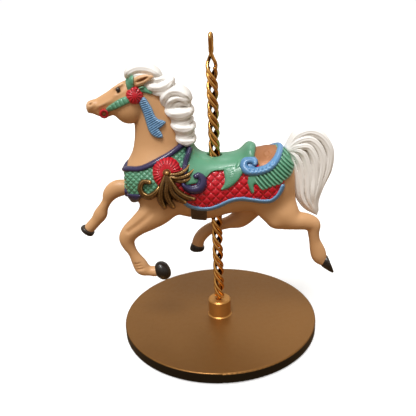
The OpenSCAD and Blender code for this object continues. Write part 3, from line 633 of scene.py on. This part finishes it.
hair("tail", [
    ([[27.5, 71.6, 1.1], [31, 76, 1.8], [35.8, 77.3, 1.9], [40.2, 74.8, 2], [43, 69.4, 2], [42.6, 63, 2],
      [40.2, 56, 1.5], [39.2, 50, 0.9], [39.9, 45.6, 0.3]], 3.4),
    ([[27.8, 71.6, 1.1], [31.2, 74.2, 1.8], [35.6, 74.6, 2], [39, 71, 2.1], [40.4, 65, 2.2], [39.2, 58, 1.9],
      [38, 51.6, 1.4], [39.4, 46, 0.4]], 4),
    ([[27.8, 71.2, 1], [31.4, 72.4, 1.7], [35, 71.8, 1.9], [37.4, 67, 2.1], [37.6, 60, 2], [37, 53, 1.6],
      [38.8, 46, 0.4]], 4.4),
    ([[28, 71, 1], [31.4, 70.8, 1.6], [33.8, 68, 1.9], [35, 62, 2.1], [35, 55, 1.8], [36, 50, 1.3],
      [38.6, 45.6, 0.4]], 4.5),
    ([[28, 70.6, 1], [30.6, 68.4, 1.5], [32.2, 64, 1.8], [32.6, 58, 1.9], [33, 53, 1.6], [35, 48.8, 1.2],
      [38.8, 45, 0.4]], 4.3),
    ([[28, 70.4, 0.9], [29.6, 67.4, 1.2], [30.8, 62, 1.6], [31.1, 56, 1.5], [32.2, 51.6, 1.2],
      [35, 47.4, 0.9],
      [39.2, 44.4, 0.4]], 3.9),
    ([[28.6, 71.6, 1.3], [32, 74.2, 2.4], [36, 72.6, 4], [37.4, 67, 5], [37, 60, 4.6], [36.4, 53, 3.2],
      [38, 47.4, 1.3], [39.4, 44.6, 0.3]], 3),
], (25, -6, 42), (47, 6, 81), strands=12, depth=0.22, square=2.6)


# ---------- Saddlery, drawn in side view ----------

trap_h = 0.25
T = Grid((-36, -14.5, 41), (31, 14.5, 80), trap_h)
under = coat_field(T, False)
hole = np.sqrt(T.x ** 2 + T.y ** 2) - 2.9


def relief(name, heights, material, nodes, g=T, on=under, least=60, rounds=2, pierced=True, even=1,
           beside=0.0):
    f = on - S.sample(heights, g)
    if beside:
        f = cut(f, np.abs(g.y) - beside, 0.3)
    f = np.maximum(f, -(on + 0.8))
    if pierced:
        f = cut(f, hole, 0.5)
    sculpt(name, g, f, material, nodes, least, rounds, even)


def quilt(cell, rise, lean=1.0, line=0.3):
    """Diamonds between two sets of slanted stitch lines pressed into the cloth."""
    across = cell / math.hypot(lean, 1) / math.pi
    a = np.abs(np.sin(math.pi * (S.x * lean + S.z) / cell)) * across
    b = np.abs(np.sin(math.pi * (S.x * lean - S.z) / cell)) * across
    near = np.minimum(a, b)
    return rise * (0.5 * np.clip(near / (0.6 * across), 0, 1) - np.exp(-(near / line) ** 2))


EDGE = [[-11.4, 53.2], [-10, 52.1], [-7, 51], [-3, 50.7], [1, 51.8], [5, 53.6], [9, 54.3], [13, 53.8],
        [17, 53.1],
        [20.4, 53.1], [22.8, 54.8], [24.2, 57], [24.9, 58.8]]
blanket = S.area([[-11.4, 53.2]] + smooth(EDGE, 3).tolist() + [[26.6, 63], [26, 68], [25, 82], [-9, 82],
                                                               [-11, 70],
                 [-16, 62.4], [-13, 58]], 1)
relief("saddle_blanket", slab(blanket, 0.95) + quilt(3.7, 0.3, 1.05) - np.clip((S.z - 66.5) / 2, 0, 1), RED,
       ("saddle_blanket",))
relief("blanket_border", roll([p + [0.85] for p in EDGE], 0.55, 0.9), BLUE, ("blanket_border",))

girth = S.area([[-9.6, 51.3], [-3.8, 51], [-3.8, 38], [-9.8, 38]], 1)
relief("girth_strap", slab(girth, 0.7), BROWN, ("girth_strap",))

seat = S.area([[-8.8, 73.5], [-10.2, 68.5], [-9.9, 66], [-12, 62.4], [-10.6, 60.4], [-7, 61], [-3.6, 63.2],
               [-2.2, 65.2], [0, 65.9], [2.4, 65.9], [3.9, 66.3], [11, 67], [14.4, 70.6], [15.2, 76],
               [15, 84],
               [-9, 84]], 1)
fold = roll([[7.4, 66.2, 0.4], [8.4, 67.2, 0.7], [9.1, 69.2, 0.5]], 1.75, 0.5)
arch = roll([[-3.4, 63.6, 0.35], [-1.8, 65.5, 0.5], [0.6, 66.2, 0.5], [3, 66.3, 0.5], [5, 67.2, 0.35]], 1.6,
            0.4)
high = np.clip((S.z - 68) / 6, 0, 1)
high = high * high * (3 - 2 * high)
rise_front = np.clip((-2.6 - S.x) / 5.4, 0, 1) ** 1.5 * 1.9
rise_back = 2.5 * np.exp(-((S.x - 12.7) / 3) ** 2)
seat_h = slab(seat, 1.9, 0.8) + high * (rise_front + rise_back - 0.9)
relief("saddle_seat", highest(seat_h, arch, fold), GREEN, ("saddle_seat",))

leaf = S.area([[3.4, 66.6], [3.6, 62.6], [3.2, 60.2], [2, 58.2], [4.6, 58.6], [7.4, 60.6], [9.4, 63.2],
               [10.6, 66], [8, 67.6]], 3)
d, side, along, _ = nearest(S.x, S.z, smooth([[3.6, 67, 1], [5.6, 65.4, 1], [6.1, 62.4, 1], [4.6, 59.6, 1]],
                                             6))
ribs = np.where(d < 1.3, 0.22 * np.abs(np.sin(math.pi * along / 0.75)) * (1 - (d / 1.3) ** 2), 0)
relief("saddle_leaves", slab(leaf, 1.9, 0.8) + ribs, GREEN, ("saddle_leaves",), rounds=1)

level = np.clip((S.z - 67) / 6, 0, 1)            # the layers thin out towards the top of the back
panel = S.area([[14.2, 71], [15.6, 68.6], [16.2, 66.2], [20.6, 66], [23.4, 71], [23.4, 84], [14.8, 84]], 1)
lozenge = np.abs(S.x - 19.3) / 1.3 + np.abs(S.z - 71.4) / 1.3 - 1
motif = np.where(np.abs(lozenge) < 0.3, 0.16 * (1 - np.abs(lozenge) / 0.3), 0)
relief("cantle_panels", slab(panel, 1.2) - 0.3 * level + motif, COPPER, ("cantle_panels",))

band = [[24, 78, 1.2], [23.9, 74, 1.2], [23.4, 71.4, 1.3], [22.2, 68.8, 1.45], [19.9, 66.3, 1.6],
        [17, 65.1, 1.65],
        [14, 64.8, 1.65], [11.6, 65.4, 1.6], [10.5, 67.2, 1.45], [11.1, 69, 1.45], [12.8, 69.5, 1.4],
        [14.3, 68.9, 1.3], [14.6, 67.9, 0.9]]
band_h = highest(roll(band, 1.6, 1.3, power=0.6), 1.7 - DROP * np.maximum(np.hypot(S.x - 12.8,
                                                                                   S.z - 67.8) - 2, 0))
for x, z in [[12.7, 65.4], [14.2, 65.3], [15.7, 65.4], [17.2, 65.6], [18.6, 66.1], [19.9, 66.8],
             [21.1, 67.9]]:
    band_h = band_h - 0.45 * np.exp(-((S.x - x) ** 2 + (S.z - z) ** 2) / 0.14)
    band_h = band_h + 0.25 * np.exp(-((S.x - x - 0.3) ** 2 + (S.z - z + 0.95) ** 2) / 0.16)
relief("cantle_scrolls", band_h - 0.9 * level * (S.x > 16), BLUE, ("cantle_scrolls",), rounds=3)

skirt = S.area([[12.6, 63.4], [12.1, 62], [11.9, 60.5], [12.5, 58.2], [13.7, 56.2], [14.4, 57], [14.1, 59],
                [14.6, 60], [15.6, 59.4], [16.4, 58.2], [17.8, 57.4], [19.2, 57.9], [20.5, 58.5],
                [22.2, 58.9],
                [24.3, 59.6], [25.6, 61], [27.5, 62.5], [28.6, 65], [28.9, 67], [27.9, 69], [26.8, 73],
                [26, 84],
                [23, 84], [22, 70], [19, 66]], 2)
across, down = S.x - 21, S.z - 64
slant = 0.75 * across + 0.64 * down + 0.015 * across * down - 0.006 * across ** 2
flutes = 0.36 * np.cos(2 * math.pi * slant / 1.3) * np.clip((S.x - 14.5) / 0.8, 0, 1)
relief("feather_skirts", slab(skirt, 1.55, 0.8) + flutes - 0.5 * level, GREEN,
       ("feather_skirts",), rounds=3, even=3)

scroll = roll([[-12.3, 61.5, 0.4], [-11.3, 59.7, 1.15], [-8.8, 58.5, 1.75], [-6.2, 59, 1.95], [-4.9, 61, 1.8],
               [-5.1, 63.2, 1.5], [-6.3, 64.4, 1]], 1.3, 1.9)
r = np.hypot(S.x + 7.1, S.z - 63.8)
ball = 1.9 + 1.4 * np.sqrt(np.clip(1 - (r / 1.15) ** 2, 0, 1)) - DROP * np.maximum(r - 1.15, 0)
d = nearest(S.x, S.z, smooth([[-11.2, 60.9], [-9.6, 59.7], [-7.6, 59.7], [-6, 60.9], [-5.8, 62.4]], 5))[0]
relief("shoulder_scrolls", highest(scroll - 0.5 * np.exp(-(d / 0.22) ** 2), ball), NAVY,
       ("shoulder_scrolls",))

strap = [[-11.2, 65.4, 0.8], [-10.9, 68, 0.9], [-10.2, 70.4, 0.9], [-9.3, 72.6, 0.85], [-8.7, 74.2, 0.75]]
relief("pommel_straps", roll(strap, 2, 0.8, grooves=2, groove=0.35) + 1.5 * high, NAVY,
       ("pommel_straps",))

TOP = [[-36, 67.6], [-31.8, 67.5], [-28.5, 67.3], [-25.5, 68], [-22.5, 69.3], [-19.5, 70.8], [-16.3, 72.4],
       [-13.5, 74.3], [-11.5, 75.8], [-9, 77]]
collar = S.area(smooth(TOP, 3).tolist() + [[-10.6, 73], [-11.4, 67.4], [-12.5, 62], [-17, 60], [-23.5, 57.6],
                [-29, 56.6], [-36, 56.8]], 1)
relief("breast_collar", slab(collar, 0.85) + quilt(2.1, 0.26, 1.0, 0.26), GREEN,
       ("breast_collar",))
relief("collar_edge_band", roll([p + [1.05] for p in TOP], 0.7, 1.0), NAVY,
       ("collar_edge_band",))
point = S.area([[-36, 57.9], [-31, 57.6], [-28.2, 57.2], [-28.6, 55.7], [-30.2, 54.4], [-36, 54]], 2)
relief("collar_point_bands", slab(point, 1.5, 0.9), NAVY, ("collar_point_bands",))

# The fan rosette: ribs round a hub, open at its lower right
cx, cz = -17.8, 65.4
r, phi = np.hypot(S.x - cx, S.z - cz), np.degrees(np.arctan2(S.z - cz, S.x - cx))
fan = S.area([[-21.2, 60.6], [-22.5, 62.6], [-23, 65.2], [-22.5, 68.2], [-20.6, 70.6], [-17.9, 71.6],
              [-15.2, 71],
              [-13.3, 69.2], [-12.8, 66.8], [-13.6, 65.6], [-15.6, 64.8], [-17.8, 64.2], [-19.4, 63.4],
              [-20.2, 61.6]], 3)
ribbed = -0.24 * np.cos(np.radians(phi) * 24) * np.clip((r - 1.6) / 1.5, 0, 1)
relief("breast_rosettes", slab(fan, 2.7, 1.6) - 0.5 * np.clip((r - 3.6) / 2, 0,
                                                              1) - 0.7 * np.exp(-(r / 2) ** 2) + ribbed, RED,
       ("breast_rosettes",))
button = 2.7 + 1.5 * np.sqrt(np.clip(1 - r ** 2 / 1.1, 0, 1)) - DROP * np.maximum(r - 1.5, 0)
relief("rosette_buttons", button, GOLD, ("rosette_buttons",), least=10)

tassels = highest(
    roll([[-18.4, 64.6, 0.8], [-19.2, 62.6, 1], [-20.2, 59.6, 1.2], [-20.8, 55.4, 1.3], [-19.6, 52, 0.8]], 1,
         2,
         grooves=2, groove=0.3),
    roll([[-17.9, 64.2, 0.8], [-18.1, 61.4, 1], [-18.5, 57.4, 1.3], [-17.8, 54.4, 1.3], [-16.3, 52, 0.8]],
         1.1, 2,
         grooves=2, groove=0.3),
    roll([[-17.4, 63.6, 0.8], [-16.9, 61, 1], [-16.4, 58, 1.2], [-14.6, 55.6, 1.3], [-11.6, 53.8, 0.8]], 1,
         2.1,
         grooves=2, groove=0.3),
    roll([[-17, 63.6, 0.7], [-15.8, 60.8, 1], [-14.2, 57.9, 1.25], [-11.4, 55.7, 1.3], [-8.4, 54.9, 0.8]],
         1.1, 2.2,
         grooves=2, groove=0.3))
relief("gold_tassels", tassels, GOLD, ("gold_tassels",), rounds=3)
plumes = highest(
    roll([[-16.6, 64.7, 0.6], [-14, 64.8, 0.85], [-11.4, 65.9, 0.85], [-9.1, 68.6, 0.25]], 1.4, 1.9,
         grooves=2,
         groove=0.35),
    roll([[-16.6, 63.8, 0.6], [-13.6, 63.3, 0.95], [-10.4, 64.2, 0.95], [-7.9, 66.5, 0.3]], 1.4, 1.9,
         grooves=2,
         groove=0.25),
    roll([[-16, 62.9, 0.5], [-13.2, 61.9, 0.8], [-10.6, 62.4, 0.8], [-8.6, 64, 0.25]], 1.3, 1.5, grooves=2,
         groove=0.3))
relief("gold_plumes", plumes, GOLD, ("gold_plumes",), rounds=3)
curlicue = roll([[-21.2, 59.9, 0.55], [-22.8, 57.6, 1.1], [-25.3, 56.4, 1.25], [-27.6, 57.7, 1.15],
                 [-28.1, 60.1, 1.05],
                 [-26.9, 62.2, 1.05], [-24.7, 62.1, 1.05]], 1, 1.6, grooves=2, groove=0.35)
relief("gold_scrolls", curlicue, GOLD, ("gold_scrolls",), rounds=3)


# ---------- Bridle ----------

bridle_h = 0.2
B = Grid((-43, -9.5, 76), (-15, 9.5, 102), bridle_h)
cheek = coat_field(B, False)


def on_head(name, heights, material, nodes, rounds=2, beside=0.0):
    relief(name, heights, material, nodes, B, cheek, 20, rounds, False, beside=beside)


def lifted(rows):
    """Side-view rows measured in the plane of the horse's middle, moved to the sheet's plane."""
    k = (SHEET_Y - EYE_Y) / -EYE_Y
    return [[x * k, EYE_Z + (z - EYE_Z) * k] + more for x, z, *more in rows]


(rx, rz), = lifted([[-28.4, 92.8]])
r, phi = np.hypot(S.x - rx, S.z - rz), np.arctan2(S.z - rz, S.x - rx)
dome = 2.3 * np.sqrt(np.clip(1 - (r / 3.05) ** 2, 0, 1)) ** 0.8 - 0.1
petals = 0.45 * (np.abs(np.sin(phi * 6)) ** 0.6 - 0.8) * np.clip((r - 0.4) / 0.8, 0, 1)
on_head("bridle_rosettes", np.where(r < 3.05, dome + petals, -DROP * (r - 3.05)), RED,
        ("bridle_rosettes",), 1, beside=2.2)
on_head("browband", roll(lifted([[-29.7, 95.2, 1], [-29.8, 97.2, 1.35], [-29.6, 99.4, 1.3],
                                 [-29.4, 102, 1.2]]), 0.3, 0.9,
                         power=0.3), GREEN, ("browband",))
cheek_strap = roll(lifted([[-38.5, 88.1, 0.8], [-36, 89.3, 1.2], [-33, 90.7, 1.35], [-31, 91.4, 1.25]]), 0.3,
                   0.9, power=0.3)
along = nearest(S.x, S.z, smooth(lifted([[-38.2, 87.8], [-36, 88.9], [-33, 90.3], [-31, 91.3]])))[2]
on_head("cheek_straps", cheek_strap - 0.3 * (1 - np.abs(np.sin(math.pi * along / 1.5))) ** 2, GREEN,
        ("cheek_straps",))
on_head("crown_straps", roll(lifted([[-26.4, 94.6, 0.9], [-24.8, 94.9, 1.05], [-22.4, 93.9, 0.8]]), 0.3, 0.8,
                             power=0.3),
        GREEN, ("crown_straps",))
(bx, bz), = lifted([[-40.2, 86.5]])
r = np.hypot(S.x - bx, S.z - bz)
ring = [[bx + 1.2 * math.cos(a), bz + 1.2 * math.sin(a), 0.45] for a in np.linspace(0, 6.2832, 13)]
on_head("bit_rings", roll(ring, 0.6, 1.0), RED, ("bit_rings",), beside=1.6)
ribbon = slab(S.area(lifted([[-26.9, 90.4], [-26.2, 91.6], [-24.8, 91.9], [-23.6, 90], [-22.4, 87.6],
                             [-21.6, 85],
                              [-20.2, 83.6], [-17.9, 82.9], [-18.3, 82], [-19.4, 80.9], [-20.5, 80.1],
                              [-19.8, 78.9],
                              [-19.3, 77.6], [-19.5, 76.9], [-21.2, 76.9], [-23.2, 78.1], [-24.4, 80.6],
                              [-25, 83.4], [-25.9, 87]]), 2), 1.3, 0.7)
along = nearest(S.x, S.z, smooth(lifted([[-26.6, 92], [-25.6, 88], [-23.6, 83], [-20.4, 77.4]])))[2]
on_head("bridle_ribbons", ribbon - 0.14 * np.cos(2 * math.pi * along / 0.75), BLUE,
        ("bridle_ribbons",), 1)


# ---------- Twisted pole ----------

def pole():
    """The one brass wire: short strand up, low bend, long strand up, the eye, and back the same way."""
    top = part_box("pole_wire")[1][2] * 1000 - DECK
    wire, core, pitch, pinch, half = 0.68, 1.5, 14.5, 97.4, 32.0
    low, end, high = 9.0, 101.8, 103.6

    def strand(z, off):
        a = np.radians(-90 - 360 * (z - pinch) / pitch + off)
        return np.stack([core * np.cos(a), core * np.sin(a), z], 1)

    def climb(a, b):
        return np.linspace(a, b, int((b - a) / 0.28))

    def bend(off):
        a, b = strand(np.array([low]), off - half)[0], strand(np.array([low]), off + half)[0]
        mid, k = (a + b) / 2, np.radians(np.arange(15, 180, 15))[:, None]
        return mid + (a - mid) * np.cos(k) - np.array([[0, 0, np.linalg.norm(a - mid)]]) * np.sin(k)

    tilt = math.radians(78)
    k = np.radians(np.linspace(0, 180, 19))[:, None]
    opened = 1.5
    centre = top - wire - opened
    eye = np.hstack([opened * np.cos(k) * math.cos(tilt), opened * np.cos(k) * math.sin(tilt),
                     centre + opened * np.sin(k)])
    leg = np.array([[0.85, 107], [1.2, 109.2], [1.45, 110.8]])
    out = np.stack([leg[:, 0] * math.cos(tilt), leg[:, 0] * math.sin(tilt), leg[:, 1]], 1)
    eye = np.vstack([out, eye, (out * [-1, -1, 1])[::-1]])
    keys = np.vstack([strand(climb(low, end)[::-1], -half), bend(0), strand(climb(low, high), half),
                      smooth(np.vstack([strand(np.array([high]), half), eye,
                                        strand(np.array([high]), 180 + half)]), 4)[1:-1],
                      strand(climb(low, high)[::-1], 180 + half), bend(180)[::-1],
                      strand(climb(low, end), 180 - half)])
    along = np.gradient(keys, axis=0)
    along /= np.linalg.norm(along, axis=1, keepdims=True)
    side, rings = np.array([1.0, 0, 0]), []
    turn = np.radians(np.arange(0, 360, 30))
    for p, d in zip(keys, along):
        side = side - d * (side @ d)
        side /= np.linalg.norm(side)
        rings.append(p + wire * (np.cos(turn)[:, None] * side + np.sin(turn)[:, None] * np.cross(d, side)))
    n = len(turn)
    points = np.vstack(rings + [keys[:1], keys[-1:]])
    faces = []
    for k in range(len(rings) - 1):
        for i in range(n):
            j = (i + 1) % n
            faces.append([k * n + i, k * n + j, (k + 1) * n + j, (k + 1) * n + i])
    ends = len(points)
    for i in range(0, n, 2):
        faces.append([ends - 2, (i + 2) % n, i + 1, i])
        last = (len(rings) - 1) * n
        faces.append([ends - 1, last + i, last + i + 1, last + (i + 2) % n])
    # Painted shade between the strands: the wire is painted darker on its faces towards the pole's middle,
    # but not in the eye at the top
    depth = np.clip(1.75 - np.hypot(points[:, 0], points[:, 1]), -0.5, 1) * (points[:, 2] < 106)
    build("pole_wire", points, np.array(faces), WIRE, nodes=("pole_wire",),
          hollows=0.5 + 0.3 * depth)


pole()
for name, mat in (("base_disc", BRONZE), ("socket_boss", BOSS), ("base_felt", FELT), ("boss_screw", STEEL),
                  ("socket_bush", BRASS), ("pole_peg", BRASS)):
    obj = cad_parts[name]
    obj.data.materials.clear()
    obj.data.materials.append(mat)


# ---------- Floor, light and camera ----------

ROOM = 3.5                                       # half the width of the white room, in metres

bpy.ops.mesh.primitive_plane_add(size=2 * ROOM, location=(0, 0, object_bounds()[0][2]))
floor = bpy.context.object
floor.name = "floor"
white = bpy.data.materials.new("floor")
white.use_nodes = True
shader = white.node_tree.nodes["Principled BSDF"]
shader.inputs["Base Color"].default_value = (0.6, 0.6, 0.6, 1)
shader.inputs["Roughness"].default_value = 0.9
shader.inputs["Emission Color"].default_value = (1, 1, 1, 1)
shader.inputs["Emission Strength"].default_value = 0.5
floor.data.materials.append(white)

bpy.ops.mesh.primitive_cylinder_add(vertices=96, radius=ROOM, depth=2 * ROOM, end_fill_type="NOTHING",
                                    location=(0, 0, 0))
wall = bpy.context.object
wall.name = "backdrop"
glow = bpy.data.materials.new("backdrop")
glow.use_nodes = True
shader = glow.node_tree.nodes["Principled BSDF"]
shader.inputs["Base Color"].default_value = (0, 0, 0, 1)
shader.inputs["Emission Color"].default_value = (1, 1, 1, 1)
shader.inputs["Emission Strength"].default_value = 1.0
wall.data.materials.append(glow)
for obj in (floor,
            wall):                        # the room is seen, but it does not light the horse
    obj.visible_diffuse = obj.visible_glossy = False
wall.visible_shadow = False

world = bpy.data.worlds.new("studio")
world.use_nodes = True
wt = world.node_tree
place = node(wt, "ShaderNodeTexCoord")
split = node(wt, "ShaderNodeSeparateXYZ")
wt.links.new(place.outputs["Generated"], split.inputs["Vector"])
step = node(wt, "ShaderNodeMapRange", interpolation_type="SMOOTHSTEP",
            **{"From Min": -0.25, "From Max": 0.35, "To Min": 0.0, "To Max": 1.0})
wt.links.new(split.outputs["Z"], step.inputs["Value"])
mix = node(wt, "ShaderNodeMix", data_type="RGBA")
shades = [i for i in mix.inputs if i.type == "RGBA"]
shades[0].default_value, shades[1].default_value = (0.23, 0.14, 0.07, 1), (0.6, 0.57, 0.53, 1)
wt.links.new(step.outputs["Result"], mix.inputs[0])
wt.links.new([o for o in mix.outputs if o.type == "RGBA"][0], wt.nodes["Background"].inputs["Color"])
scene.world = world
scene.view_settings.view_transform = "Standard"


def sun(name, azimuth, height, strength, spread):
    lamp = bpy.data.lights.new(name, "SUN")
    lamp.energy, lamp.angle = strength, math.radians(spread)
    obj = bpy.data.objects.new(name, lamp)
    a, e = math.radians(azimuth), math.radians(height)
    toward = Vector((math.sin(a) * math.cos(e), -math.cos(a) * math.cos(e), math.sin(e)))
    obj.rotation_euler = toward.to_track_quat("Z", "Y").to_euler()
    scene.collection.objects.link(obj)


sun("key", -20, 64, 2.6, 22)
sun("back", 160, 60, 0.5, 30)

cam = bpy.data.cameras.new("camera")
cam.sensor_width, cam.lens = 36.0, 45.18
camera = bpy.data.objects.new("camera", cam)
scene.collection.objects.link(camera)
pitch, yaw, tip = 0.3686, -0.0172, -0.0401
right = np.array([math.cos(yaw), -math.sin(yaw), 0])
ahead = np.array([math.sin(yaw) * math.cos(pitch), math.cos(yaw) * math.cos(pitch), -math.sin(pitch)])
up = np.cross(right, ahead)
right, up = math.cos(tip) * right + math.sin(tip) * up, -math.sin(tip) * right + math.cos(tip) * up
camera.matrix_world = Matrix([[*row, p] for row, p in zip(np.stack([right, up, -ahead], 1),
                                                         (0, EYE_Y / 1000, (EYE_Z + DECK) / 1000))] + [[0, 0,
                                                                                                        0,
                                                                                                        1]])
cam.clip_start, cam.clip_end = 0.01, 100
scene.camera = camera
